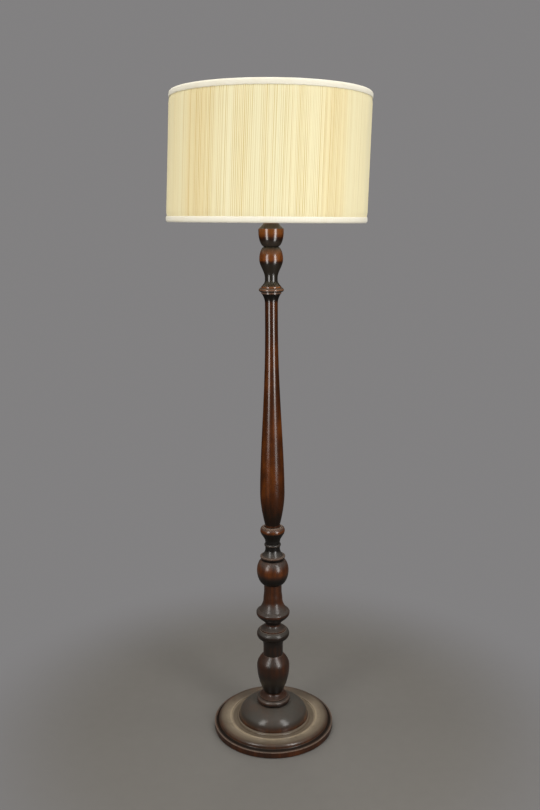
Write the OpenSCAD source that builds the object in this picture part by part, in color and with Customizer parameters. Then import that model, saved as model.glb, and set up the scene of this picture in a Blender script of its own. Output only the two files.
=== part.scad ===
// Candlestick floor lamp: turned hardwood pieces threaded on a steel tube over a weighted
// round base, with a lampholder, a wire harp and a gathered drum shade on top.
// Millimetres, +Z up, origin on the floor under the middle of the base.

/* [Base] */
// Radius of the base at its rim
base_r = 168; // [150:1:200]
// Height of the upright rim face
rim_h = 15.5; // [11:0.5:18]
// Width of the small step on top of the rim
rim_step = 5; // [2:0.5:7]
// Width of the hollow under the shoulder
hollow_w = 7.8; // [5:0.2:10]
// Height of the hollow under the shoulder
hollow_h = 5.6; // [4:0.2:8]
// Width of the rounded shoulder
shoulder_w = 8; // [5:0.5:12]
// Height of the rounded shoulder
shoulder_h = 8; // [5:0.5:10]
// Width of the dished ring inside the shoulder
dish_w = 26.2; // [18:0.2:30]
// Fall of the dished ring
dish_h = 2.9; // [1:0.1:4]
// Width of the fine lip inside the dished ring
lip_ring_w = 2; // [1:0.2:4]
// Height of the fine lip
lip_ring_h = 0.8; // [0.4:0.1:2]
// Width of the trough inside the lip
trough_w = 15; // [10:0.5:20]
// Depth of the trough
trough_h = 2.7; // [1:0.1:4]
// Width of the bead at the foot of the dome
foot_bead_w = 6.5; // [4:0.5:9]
// Height of the bead at the foot of the dome
foot_bead_h = 5; // [3:0.5:8]
// Width of the ledge between that bead and the dome
ledge_w = 0.5; // [0:0.25:3]
// Height of the dome
dome_h = 43.5; // [36:0.5:50]
// Radius of the flat on top of the dome
dome_top_r = 44; // [41:0.5:50]
// Thickness of the felt under the base
felt_t = 2; // [1:0.5:4]
// How far the felt stops short of the rim
felt_inset = 8; // [4:1:14]

/* [Ballast] */
// Radius of the iron ballast disc
ballast_r = 112; // [100:1:120]
// Thickness of the iron ballast disc
ballast_t = 12; // [8:0.5:13]
// Radius of the hole in the middle of the ballast
ballast_hole_r = 24; // [22:0.5:28]
// Width of the slot that the lead runs along
lead_slot_w = 11; // [8:0.5:14]
// Circle radius of the ballast screws
ballast_screw_circle = 80; // [60:1:95]
// Shank radius of the ballast screws
ballast_screw_r = 2; // [1.5:0.25:3]
// Length of the ballast screws into the wood
ballast_screw_grip = 14; // [10:1:18]

/* [Fits] */
// Play round the spigots, discs and bushes
fit = 0.15; // [0.05:0.05:0.3]
// Play round a turning shaft
running_fit = 0.06; // [0.03:0.01:0.1]
// Radius of the spigot on top of each turned piece
spigot_r = 11; // [9:0.5:12.5]
// Length of each spigot
spigot_h = 8; // [5:0.5:10]
// Room over each spigot in its socket
spigot_room = 1; // [0.5:0.5:2]

/* [Base collar] */
// Radius of the collar ring on the dome
collar_r = 46.8; // [44:0.2:52]
// Height of the collar ring
collar_h = 17.5; // [12:0.5:22]

/* [Urn] */
// Radius of the urn's foot
urn_foot_r = 38.5; // [33:0.5:42]
// Height of the urn's foot edge
urn_foot_h = 3; // [1.5:0.5:5]
// Radius of the urn's lower neck
urn_neck_r = 26; // [20:0.2:30]
// Height of the hollow over the urn's foot
urn_cove_h = 9.6; // [7:0.1:13]
// Straight part of the urn's lower neck
urn_neck_h = 2.1; // [2:0.1:8]
// Radius of the urn's belly
urn_belly_r = 45.5; // [40:0.1:52]
// Height from lower neck to belly
urn_rise = 78.4; // [60:0.1:95]
// Height from belly to waist
urn_shoulder_h = 36.7; // [28:0.1:45]
// How far the urn's top edge stands out from the waist
waist_step = 0.6; // [0:0.1:1.5]
// Radius of the waist over the urn
waist_r = 27.3; // [22:0.1:31]

/* [Ring piece] */
// Straight part of the waist
waist_h = 25.2; // [15:0.1:35]
// Radius of the waist under the ring
ring_foot_r = 30.2; // [28:0.2:36]
// Height of the flare under the ring
ring_flare_h = 20.6; // [12:0.1:24]
// Radius of the ring
ring_r = 45.2; // [42:0.1:52]
// Height of the ring under its widest line
ring_under_h = 16.5; // [12:0.5:22]
// Height of the ring over its widest line
ring_over_h = 13.1; // [7:0.1:14]
// Radius of the ring's top face
ring_top_r = 36.7; // [34:0.1:40]

/* [Bell] */
// Radius of the flat cap under the bell
cap_r = 34.4; // [30:0.1:36.5]
// Height of the cap's edge
cap_edge_h = 3; // [3:0.5:8]
// Height of the cap's hollow top
cap_top_h = 12.5; // [10:0.5:20]
// Radius of the neck under the bell
bell_neck_r = 21.6; // [18:0.2:26]
// Straight part of the neck under the bell
bell_neck_h = 2.1; // [1:0.1:5]
// Radius of the bell's lip
bell_r = 46.1; // [42:0.1:52]
// Height of the bell's underside
bell_under_h = 32; // [22:0.1:36]
// Height of the bell's lip
bell_lip_h = 3; // [1:0.5:4]
// Height of the rounded band over the lip
bell_band_h = 7.6; // [3:0.1:10]
// Radius at the top of the rounded band
bell_band_r = 39.2; // [38:0.1:43]
// Width of the step over the band
bell_step = 1.2; // [0.6:0.2:2]
// Height of the bell's hollow flank
bell_flank_h = 30.4; // [22:0.1:40]
// Radius at the top of the flank
bell_waist_r = 26.3; // [25:0.1:31]
// Radius of the stem over the bell
bell_stem_r = 24.2; // [21:0.2:27]
// Height over which the stem narrows
bell_stem_taper_h = 25.5; // [15:0.1:35]
// Straight part of the stem
bell_stem_h = 19.4; // [10:0.1:30]

/* [Ball] */
// Radius of the ball
ball_r = 43.5; // [38:0.1:50]
// Height of the ball under its widest line
ball_under_h = 40.4; // [34:0.1:48]
// Height of the ball over its widest line
ball_over_h = 31.3; // [28:0.1:40]
// Radius of the ball's top face
ball_top_r = 30.3; // [28:0.1:34]

/* [Ball cap] */
// Radius of the cap's thin lip
lip_r = 34.2; // [31:0.1:38]
// Height of the lip's sloping underside
lip_under_h = 9; // [4:0.1:11]
// Height of the lip's edge
lip_h = 1.6; // [1:0.1:4]
// Radius at the inside of the lip's ledge
lip_ledge_r = 28; // [25:0.1:30]
// Rise of the lip's ledge
lip_ledge_h = 2.2; // [1:0.1:4]
// Height of the cap's hollow flank
lip_flank_h = 18.5; // [14:0.1:26]
// Radius of the cap's neck
lip_neck_r = 20; // [17:0.2:23]
// Straight part of the cap's neck
lip_neck_h = 8; // [4:0.1:10]
// How far the neck bead stands out
neck_bead = 2.6; // [1.5:0.1:4]
// Height of the neck bead
neck_bead_h = 7.5; // [5:0.1:10]

/* [Lower cup] */
// Straight part of the neck under the cup
cup_neck_h = 2.2; // [1.5:0.1:6]
// Radius of the lower cup
cup_r = 33.3; // [31:0.1:38]
// Height from neck to widest line of the cup
cup_rise = 34.6; // [26:0.1:44]
// Height of the cup's rounded top
cup_over_h = 10; // [6:0.5:12]
// Radius at the top of the rounding
cup_rim_r = 28; // [27.5:0.1:30]
// Radius of the thin disc on the cup
cup_disc_r = 25.6; // [24:0.1:27]
// Height of the thin disc on the cup
cup_disc_h = 2; // [1.5:0.5:4]

/* [Shaft] */
// Radius of the shaft's foot
shaft_foot_r = 20.4; // [18:0.1:24]
// Straight part of the shaft's foot
shaft_foot_h = 5.4; // [3:0.1:9]
// Largest radius of the shaft
shaft_belly_r = 32.9; // [28:0.1:38]
// Height from foot to the thickest place
shaft_rise = 91.5; // [75:0.1:120]
// Height over which the shaft tapers
shaft_taper_h = 458; // [350:0.1:520]
// Radius of the shaft's slim part
shaft_slim_r = 16.5; // [15:0.1:20]
// Straight length of the slim part
shaft_slim_h = 42.6; // [30:0.1:80]
// Radius of the flare at the shaft's top
shaft_flare_r = 24.4; // [22:0.1:25]
// Height of the flare at the shaft's top
shaft_flare_h = 27.3; // [20:0.1:34]
// Radius of the fillet on the flare
shaft_top_r = 25.6; // [25.2:0.1:28]
// Height of the fillet on the flare
shaft_fillet_h = 4; // [2:0.5:6]

/* [Vase] */
// Radius of the ring bead under the vase
vase_ring_r = 31.8; // [29:0.1:36]
// Height of the ring bead
vase_ring_h = 11; // [7:0.5:14]
// Radius of the fillet on the ring bead
vase_fillet_r = 25.5; // [22:0.1:28]
// Height of the fillet
vase_fillet_h = 3; // [1.5:0.5:5]
// Height of the hollow over the fillet
vase_cove_h = 15.6; // [11:0.1:22]
// Radius of the vase's neck
vase_neck_r = 16.2; // [14.5:0.1:19]
// Straight part of the vase's neck
vase_neck_h = 6.3; // [4:0.1:14]
// Radius of the vase's belly
vase_belly_r = 30; // [27:0.1:36]
// Height from neck to belly
vase_rise = 46.3; // [34:0.1:56]
// Height from belly to the top groove
vase_over_h = 30.8; // [22:0.1:38]
// Radius at the bottom of the top groove
groove_r = 18.1; // [15:0.1:20]

/* [Top cup] */
// Radius of the top cup
top_cup_r = 31.7; // [28:0.1:38]
// Height from groove to the widest line
top_cup_rise = 35.7; // [30:0.1:50]
// Height of the top cup's edge
top_cup_edge_h = 7.8; // [3:0.1:8]
// Width of the chamfer on the edge
top_cup_chamfer = 2; // [1:0.2:3]
// Height of the hollow shoulder over the edge
top_shoulder_h = 14.2; // [9:0.1:18]
// Radius of the seat for the brass cap
top_seat_r = 18.6; // [16:0.1:20]
// Height of the seat for the brass cap
top_seat_h = 5.2; // [3:0.1:8]

/* [Tube and nuts] */
// Radius of the steel tube through the column
tube_r = 4.85; // [4.5:0.05:5.2]
// Wall of the steel tube
tube_wall = 1.4; // [1:0.1:1.8]
// Play between the tube and the wood
tube_play = 0.6; // [0.3:0.1:1]
// Height of the pocket for the bottom nut, over the ballast
nut_pocket_h = 16; // [13:0.5:20]
// Radius of the pocket for the bottom nut
nut_pocket_r = 21; // [20.5:0.5:23]
// Radius of the bottom washer
washer_r = 17; // [14:0.5:19]
// Thickness of the bottom washer
washer_t = 2; // [1:0.25:3]
// Width across flats of the hexagon nuts
nut_af = 15; // [13:0.5:17]
// Thickness of the hexagon nuts
nut_t = 5; // [3:0.5:6]
// Length of tube under the bottom nut
tube_tail = 3; // [1:0.5:5]

/* [Cord outlet] */
// Bore radius of the cord bush
bush_bore_r = 3.6; // [3:0.1:4]
// Wall of the cord bush
bush_wall = 1.2; // [0.8:0.1:2]
// Length of the cord bush in the rim
bush_depth = 18; // [12:1:24]
// Height of the cord outlet over the felt
outlet_z = 7.5; // [6.5:0.25:9]
// Thickness of the bush's flange
bush_flange = 1.6; // [1:0.2:2.5]

/* [Brass cap and saddle] */
// Height of the brass cap
brass_cap_h = 3; // [2:0.5:5]
// How far the brass cap's edge overhangs the seat
brass_cap_over = 0.8; // [0.4:0.2:2]
// Thickness of the saddle strip
saddle_t = 1.6; // [1.2:0.1:2.2]
// Width of the saddle strip
saddle_w = 14; // [12:0.5:18]
// Distance of each saddle arm from the axis
saddle_reach = 27; // [25:0.5:32]
// Height of the saddle's wide arms
saddle_arm_h = 8; // [5:0.5:12]
// Width of the tongues that the sleeves slide over
tongue_w = 3.8; // [3:0.2:4]
// Height of the tongues
tongue_h = 10; // [7:0.5:11]

/* [Lampholder] */
// Radius of the lampholder's brass shell
shell_r = 17; // [16.9:0.05:18]
// Wall of the brass shell
shell_wall = 0.6; // [0.4:0.1:0.8]
// Height of the lampholder's cap
holder_cap_h = 18; // [16:0.5:22]
// How far the shell reaches into the cap
shell_lap = 8; // [6:0.5:9]
// Height of the lampholder from the cap's foot to its mouth
holder_h = 54; // [50:0.5:60]
// Wall of the card insulator
card_t = 0.7; // [0.5:0.1:0.9]
// Height of the moulded switch body
switch_body_h = 18; // [15:0.5:20]
// Inner radius of the screw shell
screw_r = 13.4; // [13.3:0.05:13.6]
// Wall of the screw shell
screw_wall = 0.5; // [0.4:0.05:0.6]
// Height of the switch spindle in its body
spindle_h = 12.5; // [11:0.5:14]
// Radius of the switch spindle
spindle_r = 2; // [1.5:0.1:2.5]
// Radius of the switch knob
knob_r = 6.5; // [5:0.5:8]
// Length of the switch knob
knob_l = 13; // [9:0.5:16]
// Gap between the shell and the knob
knob_gap = 4; // [3:0.5:6]

/* [Bulb] */
// Radius of the bulb's screw cap
bulb_cap_r = 13.1; // [12.9:0.05:13.2]
// Height of the bulb's screw cap
bulb_cap_h = 22; // [20:0.5:24]
// Radius of the bulb
bulb_r = 30; // [25:0.5:32]
// Height from the screw cap to the widest line
bulb_rise = 47; // [40:1:54]
// Wall of the glass
glass_t = 1; // [0.7:0.1:1.3]

/* [Harp] */
// Radius of the harp wire
harp_wire_r = 1.6; // [1.3:0.1:1.7]
// Half width of the harp round the bulb
harp_half_w = 60; // [52:1:66]
// Height of the harp over the saddle arms
harp_h = 244; // [225:1:260]
// Travel of the sleeves
sleeve_travel = 15; // [10:0.5:16]
// Height of the sleeves
sleeve_h = 12; // [11.5:0.5:14]
// Wall of the sleeves
sleeve_wall = 0.8; // [0.5:0.1:1.2]
// Radius of the threaded stud
stud_r = 3.1; // [2.8:0.1:3.4]
// Length of the stud over the harp
stud_l = 15; // [12:0.5:18]
// Radius of the finial's foot
finial_r = 8; // [6.5:0.5:9]
// Height of the finial
finial_h = 25; // [20:0.5:28]

/* [Shade] */
// Depth of the fitter under the top ring
shade_recess = 34; // [28:1:40]
// Height from the bottom ring to the top ring
shade_h = 296; // [270:1:320]
// Radius of the bottom ring
shade_bottom_r = 244.4; // [230:0.2:255]
// How much less the top ring's radius is
shade_taper = 4; // [0:0.2:20]
// Radius of the ring wire
ring_wire_r = 1.75; // [1.4:0.05:2.2]
// Radius of the rib wire
rib_wire_r = 1.2; // [0.9:0.1:1.3]
// Number of ribs
rib_count = 8; // [6:1:12]
// Thickness of the gathered cover
cover_t = 2.4; // [1.5:0.1:4]
// Thickness of the lining
lining_t = 0.6; // [0.4:0.1:1]
// Gap between cloth and wire
cloth_gap = 0.2; // [0.1:0.05:0.5]
// Width of the trimming tape
trim_w = 15; // [10:0.5:20]
// Thickness of the trimming tape
trim_t = 1.1; // [0.6:0.1:1.6]
// Lean of the whole shade to the right, in degrees
shade_lean = 0.65; // [0:0.05:1.5]
// How far the shade has gone out of square, in degrees
shade_skew = 1.7; // [0:0.1:2.5]

/* [Hidden] */
$fn = 96;

curve_steps = 14;
tiny = 0.01;
bore_r = tube_r + tube_play;

// A turned profile is a list of bands, each [shape, height, radius at its top, power].
// "line" is straight, "swell" leaves at a slope and ends upright, "taper" starts upright,
// "ogee" is upright at both ends, "bowl" starts level and ends upright, "dome" starts
// upright and ends level, and "bead" stands out by the radius given and comes back.
function band(b, r0, z0) =
    let (h = b[1], r1 = b[2], p = is_undef(b[3]) ? 1 : b[3])
    b[0] == "line" ? [[r1, z0 + h]] :
    [for (i = [1:curve_steps]) let (t = i / curve_steps, a = 90 * t)
        b[0] == "swell" ? [r0 + (r1 - r0) * sin(90 * pow(t, p)), z0 + h * t] :
        b[0] == "taper" ? [r0 + (r1 - r0) * (1 - cos(90 * pow(t, p))), z0 + h * t] :
        b[0] == "ogee" ? [r0 + (r1 - r0) * (1 - cos(180 * pow(t, p))) / 2, z0 + h * t] :
        b[0] == "bowl" ? [r0 + (r1 - r0) * pow(sin(a), p), z0 + h * (1 - cos(a))] :
        b[0] == "dome" ? [r1 + (r0 - r1) * pow(cos(a), p), z0 + h * sin(a)] :
        [r0 + r1 * sin(180 * t), z0 + h * (1 - cos(180 * t)) / 2]];

function top_r(b, r0) = b[0] == "bead" ? r0 : b[2];

function profile(bands, r0, z0 = 0, i = 0) =
    i == len(bands) ? [[r0, z0]] :
    concat([[r0, z0]],
           [for (k = [0:1:len(band(bands[i], r0, z0)) - 2]) band(bands[i], r0, z0)[k]],
           profile(bands, top_r(bands[i], r0), z0 + bands[i][1], i + 1));

function height(bands, i = 0) = i == len(bands) ? 0 : bands[i][1] + height(bands, i + 1);

// A turned piece: its outline, bored for the tube, with a socket below and a spigot above
module turned(r0, bands, socket = true, spigot = true) {
    h = height(bands);
    floor_in = socket ? [[spigot_r + fit, 0]] : [[bore_r, 0]];
    roof_in = spigot ? [[spigot_r, h], [spigot_r, h + spigot_h], [bore_r, h + spigot_h]]
                     : [[bore_r, h]];
    hollow = socket ? [[bore_r, spigot_h + spigot_room],
                       [spigot_r + fit, spigot_h + spigot_room]] : [];
    rotate_extrude() polygon(concat(floor_in, profile(bands, r0), roof_in, hollow));
}

// The turned pieces, bottom to top
collar_bands = [["bead", collar_h, collar_h / 2]];
urn_bands = [["line", urn_foot_h, urn_foot_r],
             ["swell", urn_cove_h, urn_neck_r],
             ["line", urn_neck_h, urn_neck_r],
             ["swell", urn_rise, urn_belly_r, 0.91],
             ["taper", urn_shoulder_h, waist_r + waist_step, 1.18]];
ring_bands = [["line", waist_h, waist_r],
              ["taper", ring_flare_h, ring_foot_r],
              ["bowl", ring_under_h, ring_r, 1.36],
              ["dome", ring_over_h, ring_top_r, 1.34]];
bell_bands = [["line", cap_edge_h, cap_r],
              ["swell", cap_top_h, bell_neck_r],
              ["line", bell_neck_h, bell_neck_r],
              ["ogee", bell_under_h, bell_r, 0.92],
              ["line", bell_lip_h, bell_r],
              ["taper", bell_band_h, bell_band_r],
              ["line", tiny, bell_band_r - bell_step],
              ["swell", bell_flank_h, bell_waist_r],
              ["ogee", bell_stem_taper_h, bell_stem_r],
              ["line", bell_stem_h, bell_stem_r]];
ball_bands = [["bowl", ball_under_h, ball_r, 1.26],
              ["dome", ball_over_h, ball_top_r, 1.23]];
ball_cap_bands = [["line", lip_under_h, lip_r],
                  ["line", lip_h, lip_r],
                  ["line", lip_ledge_h, lip_ledge_r],
                  ["swell", lip_flank_h, lip_neck_r],
                  ["line", lip_neck_h, lip_neck_r],
                  ["bead", neck_bead_h, neck_bead]];
lower_cup_bands = [["line", cup_neck_h, lip_neck_r],
                   ["ogee", cup_rise, cup_r, 1.21],
                   ["dome", cup_over_h, cup_rim_r],
                   ["line", tiny, cup_disc_r],
                   ["line", cup_disc_h, cup_disc_r]];
shaft_bands = [["line", shaft_foot_h, shaft_foot_r],
               ["swell", shaft_rise, shaft_belly_r, 0.97],
               ["ogee", shaft_taper_h, shaft_slim_r, 0.84],
               ["line", shaft_slim_h, shaft_slim_r],
               ["taper", shaft_flare_h, shaft_flare_r, 1.27],
               ["line", tiny, shaft_top_r],
               ["line", shaft_fillet_h, shaft_top_r]];
vase_bands = [["bowl", vase_ring_h / 2, vase_ring_r],
              ["dome", vase_ring_h / 2, vase_fillet_r],
              ["line", vase_fillet_h, vase_fillet_r],
              ["swell", vase_cove_h, vase_neck_r],
              ["line", vase_neck_h, vase_neck_r],
              ["ogee", vase_rise, vase_belly_r, 0.96],
              ["dome", vase_over_h, groove_r, 1.34]];
top_cup_bands = [["bowl", top_cup_rise, top_cup_r, 1.17],
                 ["line", top_cup_edge_h, top_cup_r],
                 ["line", top_cup_chamfer, top_cup_r - top_cup_chamfer],
                 ["swell", top_shoulder_h, top_seat_r, 1.03],
                 ["line", top_seat_h, top_seat_r]];

// Heights of the stack over the floor
z_wood = felt_t;
z_rim = z_wood + rim_h;
z_hollow = z_rim + hollow_h;
z_dish = z_hollow + shoulder_h;
z_lip = z_dish - dish_h;
z_trough = z_lip - trough_h;
z_ledge = z_trough + foot_bead_h;
z_collar = z_ledge + dome_h;
z_urn = z_collar + height(collar_bands);
z_ring = z_urn + height(urn_bands);
z_bell = z_ring + height(ring_bands);
z_ball = z_bell + height(bell_bands);
z_ball_cap = z_ball + height(ball_bands);
z_lower_cup = z_ball_cap + height(ball_cap_bands);
z_shaft = z_lower_cup + height(lower_cup_bands);
z_vase = z_shaft + height(shaft_bands);
z_top_cup = z_vase + height(vase_bands);
z_cap = z_top_cup + height(top_cup_bands);
z_saddle = z_cap + brass_cap_h;
z_saddle_nut = z_saddle + saddle_t;
z_holder = z_saddle_nut + nut_t;

// Base: radii of its rings, from the rim inwards
r_step = base_r - rim_step;
r_shoulder = r_step - hollow_w;
r_dish = r_shoulder - shoulder_w;
r_lip = r_dish - dish_w - lip_ring_w;
r_trough = r_lip - trough_w;
r_ledge = r_trough - foot_bead_w;
r_dome = r_ledge - ledge_w;

// Ballast, bottom nut and tube
ballast_room = 0.5;
z_ballast_top = z_wood + ballast_t;
z_pocket_top = z_ballast_top + nut_pocket_h;
z_nut_top = z_pocket_top - washer_t;
z_tube_foot = z_nut_top - nut_t - tube_tail;
tube_in_holder = 8;
z_tube_top = z_holder + tube_in_holder;
z_outlet = z_wood + outlet_z;
bush_r = bush_bore_r + bush_wall;
flange_r = bush_r + 2;
ballast_screw_head_h = 2.5;

// Lampholder
holder_wall = 0.9;
cap_in_r = shell_r + fit;
card_r = shell_r - shell_wall - fit;
body_r = card_r - card_t - fit;
z_body = z_tube_top + 1;
z_body_top = z_body + switch_body_h;
z_mouth = z_holder + holder_h;
z_spindle = z_body + spindle_h;
spindle_in = 9;
contact_r = 4.5;
contact_t = 1.4;
z_contact_top = z_body_top + contact_t;
terminal_r = 2.6;
terminal_h = 1.6;
terminal_z = z_body + 5;

// Bulb
seat_gap = 0.1;
tip_r = 4.2;
tip_h = 1.6;
z_tip = z_contact_top + seat_gap;
insulator_h = 3;
z_bulb_cap = z_tip + tip_h + insulator_h;
z_glass = z_bulb_cap + bulb_cap_h;
glass_neck_r = bulb_cap_r - 0.9;
stem_r = 5;
stem_h = 30;
filament_r = 9;

// Harp: a wire from one saddle arm, round the bulb, over the top and down again
z_shoulder = z_saddle + saddle_t + saddle_arm_h;
sleeve_play = 0.25;
tongue_x = saddle_reach;
leg_x = tongue_x + saddle_t / 2 + harp_wire_r + sleeve_play;
sleeve_x = tongue_x + sleeve_play / 2 + harp_wire_r;
sleeve_in_r = saddle_t / 2 + harp_wire_r + 1.15;
z_leg_foot = z_shoulder + seat_gap;
shelf_l = 7;
leg_h = sleeve_h + sleeve_travel + 4;
z_harp_top = z_shoulder + harp_h;
plate_r = 9;
plate_t = 2;
z_seat = z_harp_top + plate_t;
z_plate_foot = z_harp_top - 2 * harp_wire_r;
stud_gap = 0.1;
s_bend_turn = 50;
crown_turn = 36.4;
stud_head_r = 5.5;
stud_head_h = 2;
stud_play = 0.25;

// Shade, in its own frame: origin at the seat on the harp
hub_r = 11;
hub_t = 2;
z_hub = 0.15;
shade_top_r = shade_bottom_r - shade_taper;
z_top_ring = shade_recess;
z_bottom_ring = shade_recess - shade_h;
trim_gap = 0.2;
spider_arms = 3;
arm_r = harp_wire_r;
arm_room = 0.35;
braze_gap = 0.02;

// Harp side: up the leg, an S-bend out to the full width, a long arc and a short one over the
// top, all tangent; the last two radii follow from the height that is left
s_bend_r = (harp_half_w - leg_x) / 2 / (1 - cos(s_bend_turn));
z_bend = z_leg_foot + leg_h;
z_wide = z_bend + 2 * s_bend_r * sin(s_bend_turn);
crown_rise = z_harp_top - harp_wire_r - z_wide;
crown_det = (1 - cos(crown_turn)) * (1 - sin(crown_turn)) - cos(crown_turn) * sin(crown_turn);
long_r = (harp_half_w * (1 - sin(crown_turn)) - crown_rise * cos(crown_turn)) / crown_det;
short_r = (crown_rise * (1 - cos(crown_turn)) - harp_half_w * sin(crown_turn)) / crown_det;

// Points [x, z] of an arc, without its first one
function arc(x, z, r, from, to, steps) =
    [for (i = [1:steps]) let (a = from + (to - from) * i / steps) [x + r * cos(a), z + r * sin(a)]];

harp_half = concat([[leg_x, z_leg_foot], [leg_x, z_bend]],
    arc(leg_x + s_bend_r, z_bend, s_bend_r, 180, 180 - s_bend_turn, 5),
    arc(harp_half_w - s_bend_r, z_wide, s_bend_r, -s_bend_turn, 0, 5),
    arc(harp_half_w - long_r, z_wide, long_r, 0, crown_turn, 8),
    arc(harp_half_w - long_r + (long_r - short_r) * cos(crown_turn),
        z_wide + (long_r - short_r) * sin(crown_turn), short_r, crown_turn, 90, 4));
harp_points = concat(harp_half,
    [for (i = [len(harp_half) - 2:-1:0]) [-harp_half[i][0], harp_half[i][1]]]);

// A round wire swept along points [x, z] in the plane y = 0
module wire_in_plane(points, r, sides = 8) {
    n = len(points);
    rings = [for (i = [0:n - 1])
        let (a = points[max(i - 1, 0)], b = points[min(i + 1, n - 1)], d = (b - a) / norm(b - a))
        for (k = [0:sides - 1]) let (q = 360 * k / sides)
            [points[i][0] - d[1] * r * cos(q), r * sin(q), points[i][1] + d[0] * r * cos(q)]];
    walls = [for (i = [0:n - 2]) for (k = [0:sides - 1]) let (m = (k + 1) % sides)
        [i * sides + k, i * sides + m, (i + 1) * sides + m, (i + 1) * sides + k]];
    ends = [[for (k = [sides - 1:-1:0]) k], [for (k = [0:sides - 1]) (n - 1) * sides + k]];
    polyhedron(points = rings, faces = concat(walls, ends), convexity = 6);
}

// A straight round wire between two points
module wire(a, b, r) {
    v = b - a;
    translate(a) rotate([0, acos(v[2] / norm(v)), atan2(v[1], v[0])]) cylinder(h = norm(v), r = r);
}

module tube_ring(r_out, r_in, h) difference() {
    cylinder(h = h, r = r_out);
    translate([0, 0, -1]) cylinder(h = h + 2, r = r_in);
}

module hexagon(af, h) cylinder(h = h, r = af / 2 / cos(30), $fn = 6);

// ---- Base ----

// Points of a quarter curve round [r, z], w wide and h high, from one angle to the other
function quarter(r, z, w, h, from, to, steps) =
    [for (i = [1:steps]) let (a = from + (to - from) * i / steps) [r + w * cos(a), z + h * sin(a)]];

base_points = concat(
    [[0, z_wood], [base_r, z_wood], [base_r, z_rim - 1], [base_r - 0.3, z_rim - 0.3],
     [base_r - 1, z_rim], [r_step, z_rim]],
    quarter(r_step, z_hollow, hollow_w, hollow_h, 270, 180, 8),
    quarter(r_dish, z_hollow, shoulder_w, shoulder_h, 0, 90, curve_steps),
    [for (i = [1:8]) let (t = i / 8)
        [r_dish - dish_w * t, z_dish - dish_h * (1 - cos(180 * t)) / 2]],
    quarter(r_lip + lip_ring_w / 2, z_lip, lip_ring_w / 2, lip_ring_h, 0, 180, 8),
    quarter(r_trough, z_lip, trough_w, trough_h, 0, -90, 8),
    quarter(r_ledge, z_trough, foot_bead_w, foot_bead_h, 0, 90, 10),
    [[r_dome, z_ledge]],
    quarter(dome_top_r, z_ledge, r_dome - dome_top_r, dome_h, 0, 90, 2 * curve_steps),
    [[spigot_r, z_collar], [spigot_r, z_collar + spigot_h], [0, z_collar + spigot_h]]);

module ballast_screw_places() for (i = [0:2]) rotate([0, 0, 30 + 120 * i])
    translate([ballast_screw_circle, 0, z_wood]) children();

module base() color([0.30, 0.25, 0.21]) difference() {
    rotate_extrude() polygon(base_points);
    // bore for the tube
    cylinder(h = z_collar + spigot_h + 1, r = bore_r);
    // pocket for the bottom nut and washer
    cylinder(h = z_pocket_top, r = nut_pocket_r);
    // seat for the ballast
    cylinder(h = z_ballast_top + ballast_room, r = ballast_r + ballast_room);
    // outlet for the lead
    translate([0, 0, z_outlet]) rotate([-90, 0, 0]) cylinder(h = base_r + 1, r = bush_r + fit);
    // pilot holes for the ballast screws
    ballast_screw_places() cylinder(h = ballast_t + ballast_screw_grip, r = ballast_screw_r + fit);
}

module felt_pad() color([0.16, 0.20, 0.15]) cylinder(h = felt_t, r = base_r - felt_inset);

module ballast() color([0.20, 0.20, 0.21]) difference() {
    translate([0, 0, z_wood]) tube_ring(ballast_r, ballast_hole_r, ballast_t);
    translate([-lead_slot_w / 2, 0, z_wood - 1])
        cube([lead_slot_w, ballast_r + 1, ballast_t + 2]);
    ballast_screw_places() {
        translate([0, 0, -1]) cylinder(h = ballast_t + 2, r = ballast_screw_r + fit);
        translate([0, 0, -1])
            cylinder(h = ballast_screw_head_h + 1 + fit, r = 2 * ballast_screw_r + fit);
    }
}

module ballast_screws() color([0.55, 0.53, 0.48]) ballast_screw_places() {
    difference() {
        cylinder(h = ballast_screw_head_h, r = 2 * ballast_screw_r);
        translate([-2 * ballast_screw_r, -0.5, -1]) cube([4 * ballast_screw_r, 1, 2]);
    }
    translate([0, 0, ballast_screw_head_h])
        cylinder(h = ballast_t - ballast_screw_head_h + ballast_screw_grip - 1,
                 r = ballast_screw_r);
}

module cord_bush() color([0.06, 0.06, 0.06]) difference() {
    translate([0, base_r - bush_depth, z_outlet]) rotate([-90, 0, 0]) union() {
        cylinder(h = bush_depth, r = bush_r);
        translate([0, 0, bush_depth]) cylinder(h = bush_flange, r = flange_r);
    }
    translate([0, base_r - bush_depth - 1, z_outlet]) rotate([-90, 0, 0])
        cylinder(h = bush_depth + bush_flange + 2, r = bush_bore_r);
}

// ---- Turned column ----

module base_collar() color([0.24, 0.15, 0.10]) translate([0, 0, z_collar])
    turned(collar_r - collar_h / 2, collar_bands);

module urn() color([0.22, 0.12, 0.07]) translate([0, 0, z_urn]) turned(urn_foot_r, urn_bands);

module ring_piece() color([0.20, 0.12, 0.08]) translate([0, 0, z_ring])
    turned(waist_r, ring_bands);

module bell() color([0.23, 0.12, 0.06]) translate([0, 0, z_bell]) turned(cap_r, bell_bands);

module ball() color([0.26, 0.13, 0.06]) translate([0, 0, z_ball])
    turned(bell_stem_r, ball_bands);

module ball_cap() color([0.30, 0.22, 0.17]) translate([0, 0, z_ball_cap])
    turned(ball_top_r, ball_cap_bands);

module lower_cup() color([0.24, 0.13, 0.07]) translate([0, 0, z_lower_cup])
    turned(lip_neck_r, lower_cup_bands);

module shaft() color([0.21, 0.12, 0.07]) translate([0, 0, z_shaft])
    turned(shaft_foot_r, shaft_bands);

module vase() color([0.27, 0.15, 0.08]) translate([0, 0, z_vase])
    turned(shaft_top_r, vase_bands);

module top_cup() color([0.28, 0.16, 0.09]) translate([0, 0, z_top_cup])
    turned(groove_r, top_cup_bands, spigot = false);

// ---- Tube, nuts and brass fittings ----

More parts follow.
